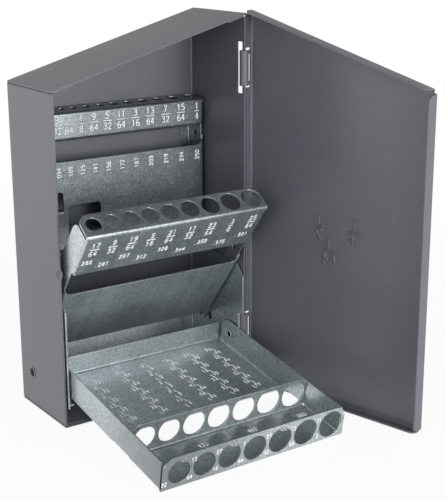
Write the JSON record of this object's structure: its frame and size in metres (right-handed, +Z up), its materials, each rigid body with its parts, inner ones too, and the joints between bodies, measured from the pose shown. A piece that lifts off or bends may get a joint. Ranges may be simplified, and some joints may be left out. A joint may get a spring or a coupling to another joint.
{
  "type": "drill bit index case",
  "caption": "Open sheet steel case with a slanted top, a hinged door and folding zinc-plated trays whose holes hold twist drills by size.",
  "frame": {"origin": "middle of the underside of the case", "axes": "+Z up, the open front and its trays face -Y, the hinged side is +X"},
  "size_m": [0.1415, 0.1578, 0.2003],
  "materials": {
    "paint": "satin grey paint",
    "zinc": "spangled zinc plating"
  },
  "bodies": {
    "case": {"case_shell": "paint", "tray_bracket": "zinc", "rear_tray": "zinc", "front_pivot_left": "zinc", "front_pivot_right": "zinc", "middle_pivot_left": "zinc", "middle_pivot_right": "zinc", "eyelet_left": "paint", "eyelet_right": "paint"},
    "door": {"door": "paint"},
    "front_tray": {"front_tray": "zinc"},
    "middle_tray": {"middle_tray": "zinc"}
  },
  "joints": [
    {"name": "door_hinge", "type": "hinge", "parent": "case", "child": "door", "pos_m": [0.0548, -0.0239, 0.1], "axis": [0, 0, 1], "range_deg": [-13, 27]},
    {"name": "front_tray_fold", "type": "hinge", "parent": "case", "child": "front_tray", "pos_m": [0, -0.0155, 0.0248], "axis": [-1, 0, 0], "range_deg": [0, 97.6]},
    {"name": "middle_tray_fold", "type": "hinge", "parent": "case", "child": "middle_tray", "pos_m": [0, 0.0112, 0.0305], "axis": [-1, 0, 0], "range_deg": [0, 27]}
  ],
  "couplings": [
    {"joint": "middle_tray_fold", "follows": "front_tray_fold", "ratio": 0.27664}
  ]
}
